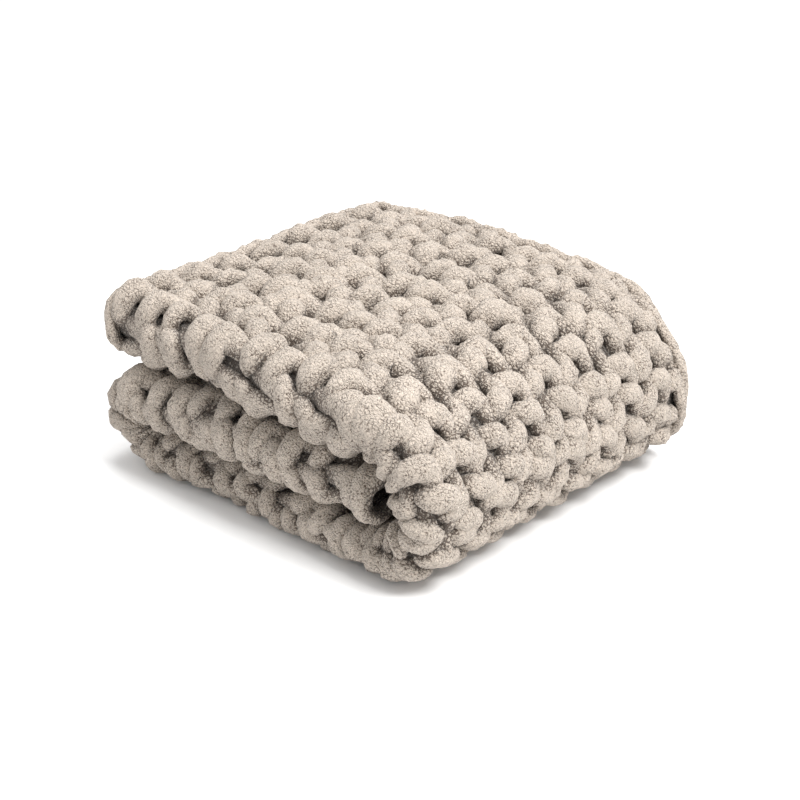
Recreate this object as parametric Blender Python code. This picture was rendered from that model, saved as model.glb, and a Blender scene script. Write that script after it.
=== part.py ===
"""Chunky knit blanket, folded in half lengthwise and then in three.

The blanket starts as one flat slab of knitted cloth with rounded edges. It is
then laid along the path of its folds: doubled first, so that its long fold
faces -Y, and rolled up in three, with a small bend at -X, a big bend at +X
and the top flap's free end at -X. Last, the stack settles under its own weight.

Metres, +Z up. The stack lies on z = 0 with its middle over the origin.
"""

import math

import bmesh
import bpy
from mathutils import Vector

# The flat blanket
LENGTH = 1.524
WIDTH = 1.0
CLOTH = 0.036  # thickness of one layer of knit
EDGE_ROUND = 0.0165  # rounding of the cloth's four edges, just under half of CLOTH
EDGE_STEPS = 3

# How it is folded
GAP = 0.002  # air between neighbouring layers
PITCH = CLOTH + GAP  # from one layer's middle to the next one's
UNDER_EDGE = 0.016  # how far the inner layer reaches past the outer one at +Y
SMALL_BEND = PITCH  # radius of the doubled cloth's middle at -X
BIG_BEND = 2 * PITCH  # the same at +X, round the tucked-in end
HAIRPIN = PITCH / 2  # radius of one layer's middle at the long fold
LOOSE_HEIGHT = 6 * PITCH - GAP  # of the stack before it settles
TUCKED_RUN = 0.369
BOTTOM_RUN = 0.368

# How the doubled cloth wanders along its length. Each row: how far along, how
# far the long fold stands out towards -Y there, and how far the open edges are
# drawn in from +Y.
WANDER = (
    # at,  out,    drawn in
    (0.00, -0.006, 0.004),
    (0.12, 0.004, 0.000),
    (0.25, 0.007, 0.004),
    (0.33, -0.004, 0.006),
    (0.42, -0.010, 0.002),
    (0.55, -0.006, 0.010),
    (0.66, -0.004, 0.020),
    (0.78, 0.004, 0.004),
    (0.90, 0.000, 0.000),
    (1.00, -0.006, 0.006),
)

# How high the stack stands from front to back and from left to right, as a
# share of its loose height. Each row: the place from -1 to 1, and the share.
HEIGHT_ALONG_Y = (
    # at,  share
    (-1.0, 0.98),
    (-0.3, 1.00),
    (0.4, 1.02),
    (1.0, 0.99),
)
HEIGHT_ALONG_X = (
    # at,  share
    (-1.0, 1.01),
    (-0.2, 1.05),
    (0.4, 1.02),
    (1.0, 0.95),
)
HALF_PLAN = 0.275  # the place 1 in both tables
SINK = 0.32  # how much harder the lower layers are pressed than the upper ones

# How far the bottom flap is drawn in under the one above at -X, and where: fully
# at the first row's place, and not at all from the second row's on.
LEFT_TUCK = 0.022
TUCKED_ALONG_X = (
    # at,  share
    (-1.0, 1.0),
    (0.2, 0.0),
)
TUCKED_UP = (
    # level, share
    (0.0, 1.0),
    (0.5, 0.0),
)

# Broad, shallow unevenness: its depth as a share of the height, and its waves
# along X and along Y, each with its turn at the middle of the stack.
LUMP = 0.012
LUMP_ALONG_X = (2.1, 0.6)
LUMP_ALONG_Y = (1.7, -0.4)

# How finely each stretch is cut
RUN_CUTS = 9
SMALL_BEND_CUTS = 10
BIG_BEND_CUTS = 16
HAIRPIN_CUTS = 10
FLAP_CUTS = 9

YARN_COLOUR = (0.62, 0.55, 0.47, 1.0)
YARN_ROUGHNESS = 0.95


def read_table(table, at, column=1):
    """The value of a column at a place in the table's first, eased between rows."""
    if at <= table[0][0]:
        return table[0][column]
    for row, following in zip(table, table[1:]):
        if at <= following[0]:
            part = (at - row[0]) / (following[0] - row[0])
            eased = part * part * (3 - 2 * part)
            return row[column] + (following[column] - row[column]) * eased
    return table[-1][column]


def stretches_along():
    """The lengths of the doubled cloth's runs and bends, in order."""
    small = math.pi * SMALL_BEND
    big = math.pi * BIG_BEND
    top = LENGTH - TUCKED_RUN - small - BOTTOM_RUN - big
    return TUCKED_RUN, small, BOTTOM_RUN, big, top


def stretches_across():
    """The widths of the inner layer, of the turn at the long fold, and of the outer layer."""
    turn = math.pi * HAIRPIN
    inner = (WIDTH - turn + UNDER_EDGE) / 2
    return inner, turn, inner - UNDER_EDGE


def place_along(s):
    """Middle line of the doubled cloth at s: x, z, and the way out of the roll there."""
    tucked, small, bottom, big, _ = stretches_along()
    low = CLOTH / 2 + PITCH / 2
    left = -bottom / 2
    right = bottom / 2
    if s <= tucked:
        return left + tucked - s, low + 2 * SMALL_BEND, 0.0, 1.0
    s -= tucked
    if s <= small:
        turned = s / SMALL_BEND
        out_x, out_z = -math.sin(turned), math.cos(turned)
        return left + SMALL_BEND * out_x, low + SMALL_BEND * (1 + out_z), out_x, out_z
    s -= small
    if s <= bottom:
        return left + s, low, 0.0, -1.0
    s -= bottom
    if s <= big:
        turned = s / BIG_BEND
        out_x, out_z = math.sin(turned), -math.cos(turned)
        return right + BIG_BEND * out_x, low + BIG_BEND * (1 + out_z), out_x, out_z
    s -= big
    return right - s, low + 2 * BIG_BEND, 0.0, 1.0


def place_across(w, h):
    """Section of the doubled cloth at w and h: y, and the distance out of the roll."""
    inner, turn, _ = stretches_across()
    fold_y = -inner / 2
    if w <= inner:
        return fold_y + inner - w, -HAIRPIN - h
    w -= inner
    if w <= turn:
        turned = w / HAIRPIN
        reach = HAIRPIN + h
        return fold_y - reach * math.sin(turned), -reach * math.cos(turned)
    w -= turn
    return fold_y + w, HAIRPIN + h


def settle(x, y, z):
    """The stack after it has sunk under its own weight, the lower layers the most."""
    across, along = x / HALF_PLAN, y / HALF_PLAN
    share = read_table(HEIGHT_ALONG_Y, along) * read_table(HEIGHT_ALONG_X, across)
    share += (LUMP * math.sin(LUMP_ALONG_X[0] * across + LUMP_ALONG_X[1])
              * math.cos(LUMP_ALONG_Y[0] * along + LUMP_ALONG_Y[1]))
    level = z / LOOSE_HEIGHT
    share *= 1 - SINK * (1 - level)
    at_left = read_table(TUCKED_ALONG_X, across)
    at_bottom = read_table(TUCKED_UP, level)
    return x + LEFT_TUCK * at_left * at_bottom, y, z * share


def fold(s, w, h):
    """Where a point of the flat cloth goes: s along it, w across it, h above its middle."""
    path_x, path_z, out_x, out_z = place_along(s)
    y, out = place_across(w, h)
    open_side = min(max((y + HALF_PLAN) / (2 * HALF_PLAN), 0.0), 1.0)
    y -= read_table(WANDER, s / LENGTH) * (1 - open_side)
    y -= read_table(WANDER, s / LENGTH, 2) * open_side
    return Vector(settle(path_x + out * out_x, y, path_z + out * out_z))


def cuts(stretches, counts):
    """Where to cut the flat slab, evenly within each stretch, without its two ends."""
    places = []
    start = 0.0
    for stretch, count in zip(stretches, counts):
        places += [start + stretch * i / count for i in range(count)]
        start += stretch
    return places[1:]


def clear_scene():
    for thing in list(bpy.data.objects):
        bpy.data.objects.remove(thing, do_unlink=True)


def flat_slab():
    """The flat blanket with rounded edges, from (0, 0) to (LENGTH, WIDTH)."""
    slab = bmesh.new()
    bmesh.ops.create_cube(slab, size=1.0)
    bmesh.ops.scale(slab, verts=slab.verts, vec=(LENGTH, WIDTH, CLOTH))
    bmesh.ops.translate(slab, verts=slab.verts, vec=(LENGTH / 2, WIDTH / 2, 0))
    upright = [e for e in slab.edges if e.verts[0].co.z * e.verts[1].co.z < 0]
    bmesh.ops.bevel(slab, geom=upright, offset=EDGE_ROUND, segments=EDGE_STEPS,
                    profile=0.5, affect="EDGES")
    rims = [e for e in slab.edges if e.verts[0].co.z * e.verts[1].co.z > 0]
    rims = [e for e in rims if any(abs(f.normal.z) < 0.5 for f in e.link_faces)]
    bmesh.ops.bevel(slab, geom=rims, offset=EDGE_ROUND, segments=EDGE_STEPS,
                    profile=0.5, affect="EDGES")
    return slab


def cut_across(slab, places, direction):
    for place in places:
        everything = slab.verts[:] + slab.edges[:] + slab.faces[:]
        bmesh.ops.bisect_plane(slab, geom=everything, dist=1e-6,
                               plane_co=direction * place, plane_no=direction)


def folded_blanket(material, collection):
    slab = flat_slab()
    run_counts = (RUN_CUTS, SMALL_BEND_CUTS, RUN_CUTS, BIG_BEND_CUTS, RUN_CUTS)
    cut_across(slab, cuts(stretches_along(), run_counts), Vector((1, 0, 0)))
    flap_counts = (FLAP_CUTS, HAIRPIN_CUTS, FLAP_CUTS)
    cut_across(slab, cuts(stretches_across(), flap_counts), Vector((0, 1, 0)))
    for vert in slab.verts:
        vert.co = fold(*vert.co)
    middle_x = (min(v.co.x for v in slab.verts) + max(v.co.x for v in slab.verts)) / 2
    middle_y = (min(v.co.y for v in slab.verts) + max(v.co.y for v in slab.verts)) / 2
    bmesh.ops.translate(slab, verts=slab.verts, vec=(-middle_x, -middle_y, 0))
    bmesh.ops.triangulate(slab, faces=slab.faces)
    bmesh.ops.recalc_face_normals(slab, faces=slab.faces)
    mesh = bpy.data.meshes.new("blanket")
    slab.to_mesh(mesh)
    slab.free()
    mesh.materials.append(material)
    mesh.shade_smooth()
    blanket = bpy.data.objects.new("blanket", mesh)
    collection.objects.link(blanket)
    return blanket


def yarn_material():
    material = bpy.data.materials.new("chenille yarn")
    material.use_nodes = True
    shader = material.node_tree.nodes["Principled BSDF"]
    shader.inputs["Base Color"].default_value = YARN_COLOUR
    shader.inputs["Roughness"].default_value = YARN_ROUGHNESS
    shader.inputs["Metallic"].default_value = 0.0
    return material


clear_scene()
blanket_collection = bpy.data.collections.new("Chunky knit blanket")
bpy.context.scene.collection.children.link(blanket_collection)
folded_blanket(yarn_material(), blanket_collection)
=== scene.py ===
import math

import bpy
import numpy as np
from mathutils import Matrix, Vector


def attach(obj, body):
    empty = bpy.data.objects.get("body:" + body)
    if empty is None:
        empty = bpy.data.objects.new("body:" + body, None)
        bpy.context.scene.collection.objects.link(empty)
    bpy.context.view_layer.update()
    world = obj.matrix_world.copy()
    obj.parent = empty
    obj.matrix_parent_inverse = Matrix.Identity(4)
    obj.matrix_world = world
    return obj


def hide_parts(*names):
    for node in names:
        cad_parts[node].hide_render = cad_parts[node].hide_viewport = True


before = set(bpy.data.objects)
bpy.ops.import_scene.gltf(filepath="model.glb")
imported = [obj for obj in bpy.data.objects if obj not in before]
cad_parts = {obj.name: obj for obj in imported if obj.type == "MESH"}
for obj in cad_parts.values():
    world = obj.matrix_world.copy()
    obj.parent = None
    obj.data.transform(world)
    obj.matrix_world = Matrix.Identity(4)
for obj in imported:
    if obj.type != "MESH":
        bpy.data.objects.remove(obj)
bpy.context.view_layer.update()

# The folded cloth. A rectangle of knitting is doubled along its length, so that
# its long fold faces -Y, and folded in three: a small bend at -X, a big one at
# +X and the top flap's free end at -X. Every piece below is made flat first,
# with s along the cloth, w across it and h above its middle, and then folded.

LENGTH = 1.524
WIDTH = 1.0
CLOTH = 0.036  # thickness of one layer
GAP = 0.002
PITCH = CLOTH + GAP
UNDER_EDGE = 0.016  # the inner layer reaches this much further at +Y
SMALL_BEND = PITCH
BIG_BEND = 2 * PITCH
HAIRPIN = PITCH / 2
LOOSE_HEIGHT = 6 * PITCH - GAP
TUCKED_RUN = 0.369
BOTTOM_RUN = 0.368
TIGHTEST = 0.004  # cloth on the inside of a bend is squeezed to about this radius

WANDER = (
    # along, long fold out, open edges in
    (0.00, -0.006, 0.004),
    (0.12, 0.004, 0.000),
    (0.25, 0.007, 0.004),
    (0.33, -0.004, 0.006),
    (0.42, -0.010, 0.002),
    (0.55, -0.006, 0.010),
    (0.66, -0.004, 0.020),
    (0.78, 0.004, 0.004),
    (0.90, 0.000, 0.000),
    (1.00, -0.006, 0.006),
)
HEIGHT_ALONG_Y = (
    # place, share of the loose height
    (-1.0, 0.98),
    (-0.3, 1.00),
    (0.4, 1.02),
    (1.0, 0.99),
)
HEIGHT_ALONG_X = (
    # place, share of the loose height
    (-1.0, 1.01),
    (-0.2, 1.05),
    (0.4, 1.02),
    (1.0, 0.95),
)
HALF_PLAN = 0.275  # the place 1 in both tables
SINK = 0.32  # how much harder the lower layers are pressed than the upper ones
LEFT_TUCK = 0.022  # how far the bottom flap is drawn in under the one above at -X
TUCKED_ALONG_X = (
    # place, share
    (-1.0, 1.0),
    (0.2, 0.0),
)
TUCKED_UP = (
    # level, share
    (0.0, 1.0),
    (0.5, 0.0),
)
LUMP = 0.012  # broad, shallow unevenness, as a share of the height
LUMP_ALONG_X = (2.1, 0.6)  # its waves, each with its turn at the stack's middle
LUMP_ALONG_Y = (1.7, -0.4)


def read_table(table, at, column=1):
    """A column's values at places in the table's first one, eased between its rows."""
    places = np.array([row[0] for row in table])
    values = np.array([row[column] for row in table])
    row = np.clip(np.searchsorted(places, at, side="right") - 1, 0, len(table) - 2)
    part = np.clip((at - places[row]) / (places[row + 1] - places[row]), 0, 1)
    return values[row] + (values[row + 1] - values[row]) * part * part * (3 - 2 * part)


def squeezed(radius):
    """A radius that fades to nothing where the cloth would pass through a bend's centre."""
    return 0.5 * (radius + np.sqrt(radius * radius + TIGHTEST * TIGHTEST))


def fold_points(flat):
    """Where points of the flat cloth, rows of s, w and h, lie once it is folded."""
    s, w, h = flat[:, 0], flat[:, 1], flat[:, 2]

    # Across: up the inner layer to the long fold, round it, and back along the outer layer
    turn = math.pi * HAIRPIN
    inner = (WIDTH - turn + UNDER_EDGE) / 2
    fold_y = -inner / 2
    turned = np.clip((w - inner) / HAIRPIN, 0, math.pi)
    reach = squeezed(HAIRPIN + h)
    past = np.maximum(inner - w, 0) + np.maximum(w - inner - turn, 0)
    y = fold_y + past - reach * np.sin(turned)
    out = -reach * np.cos(turned)

    # Along: tucked-in third, small bend, bottom third, big bend, top third
    small, big = math.pi * SMALL_BEND, math.pi * BIG_BEND
    left, right = -BOTTOM_RUN / 2, BOTTOM_RUN / 2
    low = CLOTH / 2 + PITCH / 2
    first = TUCKED_RUN
    second = first + small
    third = second + BOTTOM_RUN
    fourth = third + big
    round_small = (s - first) / SMALL_BEND
    round_big = (s - third) / BIG_BEND
    at_small = squeezed(SMALL_BEND + out)
    at_big = BIG_BEND + out
    stretch = [s < first, s < second, s < third, s < fourth]
    x = np.select(stretch, [
        left + first - s,
        left - at_small * np.sin(round_small),
        left + s - second,
        right + at_big * np.sin(round_big),
    ], right - (s - fourth))
    z = np.select(stretch, [
        low + SMALL_BEND + at_small,
        low + SMALL_BEND + at_small * np.cos(round_small),
        low - out,
        low + BIG_BEND - at_big * np.cos(round_big),
    ], low + BIG_BEND + at_big)

    # The folds wander, and the stack settles: the lower layers are pressed the flattest
    open_side = np.clip((y + HALF_PLAN) / (2 * HALF_PLAN), 0, 1)
    y = y - read_table(WANDER, s / LENGTH) * (1 - open_side)
    y = y - read_table(WANDER, s / LENGTH, 2) * open_side
    across, along, level = x / HALF_PLAN, y / HALF_PLAN, z / LOOSE_HEIGHT
    share = read_table(HEIGHT_ALONG_Y, along) * read_table(HEIGHT_ALONG_X, across)
    share += (LUMP * np.sin(LUMP_ALONG_X[0] * across + LUMP_ALONG_X[1])
              * np.cos(LUMP_ALONG_Y[0] * along + LUMP_ALONG_Y[1]))
    share *= 1 - SINK * (1 - level)
    drawn_in = LEFT_TUCK * read_table(TUCKED_ALONG_X, across) * read_table(TUCKED_UP, level)
    return np.column_stack([x + drawn_in, y, np.maximum(z * share, 0)])  # flat on the floor


# The stack's middle stands over the frame's origin, as the CAD solid's does
OUTLINE_STEPS = (241, 121)
outline_s, outline_w, outline_h = np.meshgrid(
    np.linspace(0, LENGTH, OUTLINE_STEPS[0]), np.linspace(0, WIDTH, OUTLINE_STEPS[1]),
    (-CLOTH / 2, CLOTH / 2))
outline = fold_points(np.column_stack(
    [outline_s.ravel(), outline_w.ravel(), outline_h.ravel()]))
MIDDLE = (outline.min(axis=0) + outline.max(axis=0)) / 2 * (1, 1, 0)


def points_of(mesh):
    points = np.empty(len(mesh.vertices) * 3)
    mesh.vertices.foreach_get("co", points)
    return points.reshape(-1, 3)


def fold_mesh(mesh):
    """Folds a mesh that was made flat. Folding turns it inside out, so its faces are flipped.

    How deep each point lies in the cloth is kept, from 0 at its face to 1 at its back.
    """
    flat = points_of(mesh)
    depth = mesh.attributes.new("depth", "FLOAT", "POINT")
    depth.data.foreach_set("value", np.clip(0.5 - flat[:, 2] / CLOTH, 0, 1))
    mesh.vertices.foreach_set("co", (fold_points(flat) - MIDDLE).ravel())
    mesh.flip_normals()
    mesh.update()


# The heart of the knitting: the squeezed-together inner side of the loops, a
# continuous skin under the arcs that show. It is what is seen in the small holes
# between the loops, and its colour is the yarn's, darkened as painted shade.

HEART_THICK = 0.006
HEART_DEPTH = -0.004  # below the cloth's middle, on its inner side
HEART_MARGIN = 0.010  # it ends this far short of the cloth's edges, under the chains
HEART_STEP = 0.012
HEART_SHADE = 0.75  # painted shade: how light it is painted beside the yarn, as it lies in the hollows

YARN_COLOUR = (0.552, 0.474, 0.400)
TUFT_SHADE_COLOUR = (0.085, 0.058, 0.040)  # painted shade between the tufts
# how far the painted shade between the tufts darkens the yarn, at most
TUFT_SHADE_MOST = 0.9


def chenille(name, lightness):
    """Matt curly pile: close tufts a few millimetres wide, parted by lines of painted shade."""
    material = bpy.data.materials.new(name)
    material.use_nodes = True
    nodes, links = material.node_tree.nodes, material.node_tree.links
    shader = nodes["Principled BSDF"]
    shader.inputs["Roughness"].default_value = 0.95
    shader.inputs["Specular IOR Level"].default_value = 0.12
    shader.inputs["Sheen Weight"].default_value = 0.20
    shader.inputs["Sheen Roughness"].default_value = 0.6

    def noise(scale, detail, roughness, distortion):
        node = nodes.new("ShaderNodeTexNoise")
        node.inputs["Scale"].default_value = scale
        node.inputs["Detail"].default_value = detail
        node.inputs["Roughness"].default_value = roughness
        node.inputs["Distortion"].default_value = distortion
        links.new(place.outputs["Object"], node.inputs["Vector"])
        return node.outputs

    def spread(source, low, high, to_low, to_high):
        node = nodes.new("ShaderNodeMapRange")
        node.interpolation_type = "SMOOTHSTEP"
        node.inputs["From Min"].default_value = low
        node.inputs["From Max"].default_value = high
        node.inputs["To Min"].default_value = to_low
        node.inputs["To Max"].default_value = to_high
        links.new(source, node.inputs["Value"])
        return node.outputs["Result"]

    def maths(operation, first, second):
        node = nodes.new("ShaderNodeMath")
        node.operation = operation
        links.new(first, node.inputs[0])
        links.new(second, node.inputs[1])
        return node.outputs["Value"]

    place = nodes.new("ShaderNodeTexCoord")

    depth = nodes.new("ShaderNodeAttribute")
    depth.attribute_name = "depth"

    # The pile stands in small curly tufts
    curl = nodes.new("ShaderNodeVectorMath")
    curl.operation = "MULTIPLY_ADD"
    links.new(noise(260.0, 1.0, 0.5, 0.0)["Color"], curl.inputs[0])
    curl.inputs[1].default_value = (0.005, 0.005, 0.005)
    links.new(place.outputs["Object"], curl.inputs[2])
    tufts = nodes.new("ShaderNodeTexVoronoi")
    tufts.feature = "DISTANCE_TO_EDGE"
    tufts.inputs["Scale"].default_value = 225.0
    links.new(curl.outputs["Vector"], tufts.inputs["Vector"])
    tuft = tufts.outputs["Distance"]

    # Painted shade between the tufts: little on the loops' crowns, much in the hollows
    fluff = noise(420.0, 2.0, 0.6, 0.6)["Fac"]
    clumps = noise(75.0, 2.0, 0.5, 0.0)["Fac"]
    tuft_shade = maths("ADD", spread(depth.outputs["Fac"], 0.05, 0.60, 0.012, 0.26),
                    spread(clumps, 0.3, 0.7, -0.04, 0.05))
    tuft_shade = maths("ADD", tuft_shade, spread(fluff, 0.35, 0.65, 0.07, -0.07))
    dark = spread(maths("SUBTRACT", tuft_shade, tuft), -0.04, 0.07, 0.0, TUFT_SHADE_MOST)

    colour = nodes.new("ShaderNodeMix")
    colour.data_type = "RGBA"
    colour.inputs["A"].default_value = [c * lightness for c in YARN_COLOUR] + [1]
    colour.inputs["B"].default_value = [c * lightness for c in TUFT_SHADE_COLOUR] + [1]
    links.new(dark, colour.inputs["Factor"])

    # Broad patches a little lighter and darker at random, and painted shade in the hollows
    patches_and_shade = spread(noise(9.0, 2.0, 0.5, 0.0)["Fac"], 0.3, 0.7, 0.94, 1.04)
    patches_and_shade = maths("MULTIPLY", patches_and_shade, spread(depth.outputs["Fac"], 0.15, 0.75, 1.0, 0.55))
    tint = nodes.new("ShaderNodeVectorMath")
    tint.operation = "SCALE"
    links.new(colour.outputs["Result"], tint.inputs[0])
    links.new(patches_and_shade, tint.inputs["Scale"])
    links.new(tint.outputs["Vector"], shader.inputs["Base Color"])

    height = maths("ADD", spread(tuft, 0.0, 0.35, 0.0, 0.5), fluff)
    relief = nodes.new("ShaderNodeBump")
    relief.inputs["Strength"].default_value = 1.0
    relief.inputs["Distance"].default_value = 0.0036
    links.new(height, relief.inputs["Height"])
    links.new(relief.outputs["Normal"], shader.inputs["Normal"])
    return material


def smooth_shaded(mesh, material):
    mesh.materials.clear()
    mesh.materials.append(material)
    mesh.shade_smooth()


steps_s = round((LENGTH - 2 * HEART_MARGIN) / HEART_STEP)
steps_w = round((WIDTH - 2 * HEART_MARGIN) / HEART_STEP)
bpy.ops.mesh.primitive_grid_add(x_subdivisions=steps_s, y_subdivisions=steps_w, size=1)
heart = bpy.context.object
heart.name = heart.data.name = "heart"
heart.scale = (LENGTH - 2 * HEART_MARGIN, WIDTH - 2 * HEART_MARGIN, 1)
heart.location = (LENGTH / 2, WIDTH / 2, HEART_DEPTH)
bpy.ops.object.transform_apply(location=True, rotation=True, scale=True)
wall = heart.modifiers.new("thickness", "SOLIDIFY")
wall.thickness = HEART_THICK
wall.offset = 0
bpy.ops.object.modifier_apply(modifier=wall.name)
fold_mesh(heart.data)
# the yarn's colour darkened by HEART_SHADE: painted shade
smooth_shaded(heart.data, chenille("shaded chenille", HEART_SHADE))
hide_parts("blanket")
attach(heart, "root")


# The yarn: one long strand of thick chenille, knitted by hand into courses that
# run across the cloth. The side that shows is the purl side, where the tops and
# the feet of the loops arch over their legs and lie between each other like bricks.

COURSES = 40
STITCHES = 16
YARN = 0.0262  # thickness
LOOP_HEIGHT = 1.70  # of a loop's middle line, from foot to top, in courses
TOPS = 0.0085  # how far the tops of the loops stand above the cloth's middle
FEET = 0.0065  # and their feet
LEGS = -0.0085  # and their legs below it
LEAN = 0.38  # how far round each arch leans towards the leg it leads to
TUCK = 0.35  # how gently each arch rises from under its neighbour, and how steeply it dives
TUCK_TURN = 0.5  # how far round the arch the tuck is shifted
NARROWING = 0.080  # how far a loop's legs lean together, as a share of its width
BROAD_TOPS = 0.030  # how much broader the tops are than the feet, likewise
SQUASH = 0.84  # the yarn's thickness through the cloth, as a share of its width
FIRST_COURSE = 0.044  # from the cast-on edge to the middle of the first course
SELVEDGE = 0.028  # from the cloth's edge to where a course turns back
TURN_REACH = 0.007  # how far the turn itself stands out
BLUNT = 0.16  # how straight the tops and feet are: 0 for round arcs
SLANT = 0.006  # how far one leg lies ahead of the loop's middle, and the other behind it
LEG_YARN = 0.95  # the legs are pulled thin, as a share of the yarn's thickness
ARCH_SWELL = 0.08  # and the arches swell by this much more
STEPS = 28  # along the yarn for each stitch
TURN_STEPS = 10
RING = 12  # points round the yarn: an even number
SKEIN_COURSES = 5

# How far the courses wander, where the cloth is pulled about in folding: two
# waves across and along it that fade out near its ends
DRIFT = 0.0034
DRIFT_WAVES = (
    # across, along, start, share
    (23.0, 9.0, 0.4, 1.0),
    (13.0, -17.0, 2.0, 0.7),
)
DRIFT_FADE = 0.12
SWAY_FADE = 2  # stitches from the selvedge

# The yarn's own lumps
LUMPS = (
    # grain, depth
    (0.014, 0.0045),
    (0.0065, 0.0055),
)

# The knitting gives: it is bunched up before it goes round a bend, where the
# outer side is stretched, and drawn out on the top of the stack.
DRAWN_OUT = (
    # along, length as a share of the loose length
    (0.00, 1.00),
    (0.23, 1.00),
    (0.27, 0.80),
    (0.31, 0.80),
    (0.36, 0.98),
    (0.54, 0.96),
    (0.58, 0.77),
    (0.69, 0.77),
    (0.74, 1.16),
    (0.80, 1.22),
    (1.00, 1.22),
)

GIVE_STEPS = 400
grid_s = np.linspace(0, LENGTH, GIVE_STEPS)
give = 1 / read_table(DRAWN_OUT, (grid_s[1:] + grid_s[:-1]) / 2 / LENGTH)
loose_s = np.concatenate([[0.0], np.cumsum(np.diff(grid_s) * give)])
course_places = np.linspace(FIRST_COURSE, loose_s[-1] - FIRST_COURSE, COURSES)
course_room = course_places[1] - course_places[0]  # from one course to the next
stitch_width = (WIDTH - 2 * SELVEDGE) / STITCHES

# The unevenness of knitting by hand, as an average and a spread: each loop's
# height, its place along and across the cloth, how proud its top stands and how
# thick its yarn is, and then each whole course's place along and across
hand = np.random.default_rng(11)
loop_tall = hand.normal(1.0, 0.08, (COURSES, STITCHES + 1))
loop_slip = hand.normal(0.0, 0.0050, (COURSES, STITCHES + 1))
loop_sway = hand.normal(0.0, 0.0065, (COURSES, STITCHES + 1))
loop_proud = hand.normal(1.0, 0.24, (COURSES, STITCHES + 1))
loop_thick = hand.normal(1.0, 0.08, (COURSES, STITCHES + 1))
course_slip = hand.normal(0.0, 0.0014, COURSES)
course_sway = hand.normal(0.0, 0.0055, COURSES)


def drift(s, w):
    """How far a course wanders along the cloth."""
    wave = sum(share * np.sin(across * w + along * s + start)
               for across, along, start, share in DRIFT_WAVES)
    inside = np.clip(np.minimum(s, loose_s[-1] - s) / DRIFT_FADE, 0, 1)
    return DRIFT * wave * inside


def course(number):
    """Middle line of one course in the loose cloth, and the yarn's relative thickness on it."""
    along = np.linspace(0, STITCHES, STITCHES * STEPS + 1)
    turn = 2 * math.pi * along
    tall, slip, sway, proud, thick = [
        np.interp(along, np.arange(STITCHES + 1), loops[number])
        for loops in (loop_tall, loop_slip, loop_sway, loop_proud, loop_thick)]
    height = LOOP_HEIGHT * course_room * tall
    swing = NARROWING * np.sin(2 * turn) - BROAD_TOPS * np.sin(turn)
    inside = np.clip(np.minimum(along, STITCHES - along) / SWAY_FADE, 0, 1)
    w = SELVEDGE + stitch_width * (along + swing) + sway + course_sway[number] * inside
    s = course_places[number] + course_slip[number] + slip
    s = s - height / 2 * (np.cos(turn) - BLUNT * np.cos(3 * turn)) + SLANT * np.sin(turn)
    s = s + drift(course_places[number], w)
    wave = 2 * (turn - LEAN)
    arching = 0.5 + 0.5 * np.cos(wave - TUCK * np.sin(wave - TUCK_TURN))
    arch = FEET + (TOPS * proud - FEET) * (0.5 - 0.5 * np.cos(turn - LEAN))
    h = LEGS + (arch - LEGS) * arching
    return np.column_stack([s, w, h]), thick * (LEG_YARN + ARCH_SWELL * arching)


def turn_back(start, end, side):
    """The yarn's turn at a selvedge, from one course's end to the next one's start."""
    angle = np.linspace(0, math.pi, TURN_STEPS + 1)[1:-1]
    mix = (1 - np.cos(angle)) / 2
    points = start + (end - start) * mix[:, None]
    points[:, 1] += side * TURN_REACH * np.sin(angle)
    points[:, 2] += LEGS * np.sin(angle)
    return points, np.ones(len(points))


def yarn_piece(name, strands, material, knitted):
    """Strands of yarn as one mesh: round tubes, squashed a little, roughened and folded.

    Knitted strands are given in the loose cloth, the others in the cloth as it lies.
    """
    curve = bpy.data.curves.new(name, "CURVE")
    curve.dimensions = "3D"
    curve.bevel_depth = YARN / 2
    curve.bevel_resolution = RING // 2 - 2
    curve.use_fill_caps = True
    for points, thick in strands:
        spline = curve.splines.new("POLY")
        spline.points.add(len(points) - 1)
        loose = points * (1, 1, 1 / SQUASH)
        spline.points.foreach_set("co", np.column_stack([loose, np.ones(len(loose))]).ravel())
        spline.points.foreach_set("radius", thick)
    tube = bpy.data.objects.new(name, curve)
    bpy.context.scene.collection.objects.link(tube)
    graph = bpy.context.evaluated_depsgraph_get()
    mesh = bpy.data.meshes.new_from_object(tube.evaluated_get(graph))
    bpy.data.objects.remove(tube, do_unlink=True)
    mesh.name = name
    mesh.vertices.foreach_set("co", (points_of(mesh) * (1, 1, SQUASH)).ravel())
    piece = bpy.data.objects.new(name, mesh)
    bpy.context.scene.collection.objects.link(piece)
    bpy.context.view_layer.objects.active = piece
    for layer, (grain, depth) in enumerate(LUMPS):
        lumps = bpy.data.textures.new(f"lumps {layer}", "CLOUDS")
        lumps.noise_scale = grain
        rough = piece.modifiers.new(f"lumps {layer}", "DISPLACE")
        rough.texture = lumps
        rough.texture_coords = "LOCAL"
        rough.strength = depth
        rough.mid_level = 0.5
        bpy.ops.object.modifier_apply(modifier=rough.name)
    if knitted:
        rough_points = points_of(mesh)
        rough_points[:, 0] = np.interp(rough_points[:, 0], loose_s, grid_s)
        mesh.vertices.foreach_set("co", rough_points.ravel())
    fold_mesh(mesh)
    smooth_shaded(mesh, material)
    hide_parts("blanket")
    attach(piece, "root")
    return piece


yarn_look = chenille("chenille", 1.0)
strand = []
for number in range(COURSES):
    points, thick = course(number)
    if number % 2:
        points, thick = points[::-1], thick[::-1]
    strand.append((points, thick))

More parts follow.
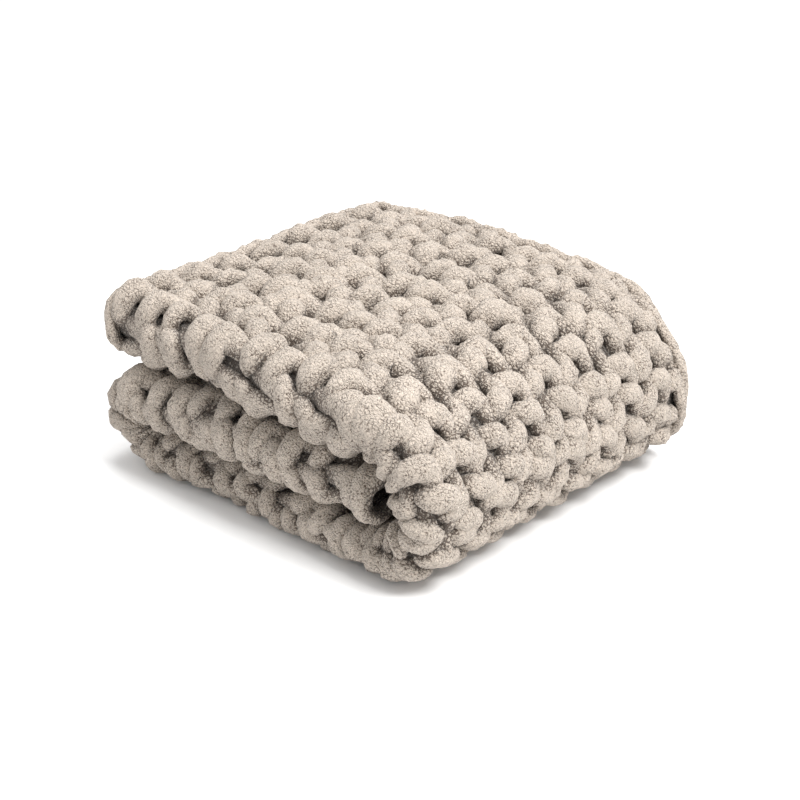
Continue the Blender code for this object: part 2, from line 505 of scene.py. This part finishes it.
for start in range(0, COURSES, SKEIN_COURSES):
    run_points, run_thick = [], []
    for number in range(start, min(start + SKEIN_COURSES, COURSES)):
        points, thick = strand[number]
        run_points.append(points)
        run_thick.append(thick)
        if number + 1 < COURSES:
            side = 1 if number % 2 == 0 else -1
            bend, bend_thick = turn_back(points[-1], strand[number + 1][0][0], side)
            run_points.append(bend)
            run_thick.append(bend_thick)
    skein = yarn_piece(f"skein_{start // SKEIN_COURSES + 1}",
                       [(np.vstack(run_points), np.concatenate(run_thick))], yarn_look, True)


# The edges: the side edges are chains of slipped stitches, long and snug, and
# the cast-on and cast-off edges are chains too, with shorter links. They are
# worked with the same yarn.

EDGE_YARN = 0.64  # its thickness as a share of the yarn's, pulled snug
EDGE_STEP = 0.005
EDGE_IN = 0.009  # from the cloth's edge to the chain's middle
EDGE_ABOVE = 0.006  # the cloth's middle
EDGE_SWAY = 0.0040  # of each strand round the chain's middle
EDGE_SWELL = 0.05  # of each strand at the links
SIDE_LAY = 0.140  # one full twist of a side chain
END_LAY = 0.118
CAST_ON = 0.001  # from the tucked-in end to its chain's middle: the cast-on edge is loose
CAST_ON_YARN = 0.90  # and its yarn fuller


def edge_rope(start, end, thick, lay):
    """Two yarns twisted along an edge, as a chain of edge stitches pulled snug looks."""
    start, end = np.array(start), np.array(end)
    length = np.linalg.norm(end - start)
    ahead = (end - start) / length
    beside = np.array([-ahead[1], ahead[0], 0.0])
    above = np.array([0.0, 0.0, 1.0])
    at = np.linspace(0, length, round(length / EDGE_STEP))
    strands = []
    for phase in (0.0, math.pi):
        angle = 2 * math.pi * at / lay + phase
        points = start + at[:, None] * ahead
        points = points + EDGE_SWAY * np.cos(angle)[:, None] * beside
        points = points + EDGE_SWAY * np.sin(angle)[:, None] * above
        strands.append((points, thick + EDGE_SWELL * np.cos(2 * angle)))
    return strands


side_edges = []
for w in (EDGE_IN, WIDTH - EDGE_IN):
    side_edges += edge_rope((EDGE_IN, w, EDGE_ABOVE), (LENGTH - EDGE_IN, w, EDGE_ABOVE),
                            EDGE_YARN, SIDE_LAY)
end_edges = []
for s, thick in ((CAST_ON, CAST_ON_YARN), (LENGTH - EDGE_IN, EDGE_YARN)):
    end_edges += edge_rope((s, EDGE_IN, EDGE_ABOVE), (s, WIDTH - EDGE_IN, EDGE_ABOVE),
                           thick, END_LAY)
edges = [yarn_piece("side_edges", side_edges, yarn_look, False),
         yarn_piece("end_edges", end_edges, yarn_look, False)]


# The floor, the lights and the camera: a plain sheet of white paper, a pale
# studio all round and two soft boxes.

FLOOR_SIZE = 30
FLOOR_DROP = 0.0005  # just under the underside
PAPER_COLOUR = (0.9, 0.9, 0.9, 1)
STUDIO_LIGHT = 0.86
STACK_MIDDLE = (0, 0, 0.1)

bpy.ops.mesh.primitive_plane_add(size=FLOOR_SIZE, location=(0, 0, -FLOOR_DROP))
floor = bpy.context.object
floor.name = "floor"
paper = bpy.data.materials.new("white paper")
paper.use_nodes = True
paper_shader = paper.node_tree.nodes["Principled BSDF"]
paper_shader.inputs["Base Color"].default_value = PAPER_COLOUR
paper_shader.inputs["Roughness"].default_value = 0.9
floor.data.materials.append(paper)

world = bpy.data.worlds.new("studio")
bpy.context.scene.world = world
world.use_nodes = True
world.node_tree.nodes["Background"].inputs["Color"].default_value = (1, 1, 1, 1)
world.node_tree.nodes["Background"].inputs["Strength"].default_value = STUDIO_LIGHT
bpy.context.scene.view_settings.view_transform = "Standard"


def soft_box(name, place, size, power):
    light = bpy.data.lights.new(name, "AREA")
    light.size = size
    light.energy = power
    lamp = bpy.data.objects.new(name, light)
    lamp.location = place
    towards_stack = Vector(STACK_MIDDLE) - Vector(place)
    lamp.rotation_euler = towards_stack.to_track_quat("-Z", "Y").to_euler()
    bpy.context.scene.collection.objects.link(lamp)


soft_box("key", (2.0, 0.1, 2.6), 1.0, 96)
soft_box("top", (-0.3, 0.4, 3.0), 1.8, 62)

AZIMUTH, ELEVATION = math.radians(43.0), math.radians(24.0)
DISTANCE = 2.0
LOOK_AT = Vector((0, 0, 0.115))
LENS_PER_DISTANCE = 36.7  # millimetres a metre
RISE = -0.032  # of the picture
camera_data = bpy.data.cameras.new("camera")
camera_data.sensor_width = 36
camera_data.lens = LENS_PER_DISTANCE * DISTANCE
camera_data.shift_y = RISE
camera = bpy.data.objects.new("camera", camera_data)
towards = Vector((math.sin(AZIMUTH) * math.cos(ELEVATION),
                  -math.cos(AZIMUTH) * math.cos(ELEVATION), math.sin(ELEVATION)))
camera.location = LOOK_AT + DISTANCE * towards
camera.rotation_euler = (-towards).to_track_quat("-Z", "Y").to_euler()
bpy.context.scene.collection.objects.link(camera)
bpy.context.scene.camera = camera
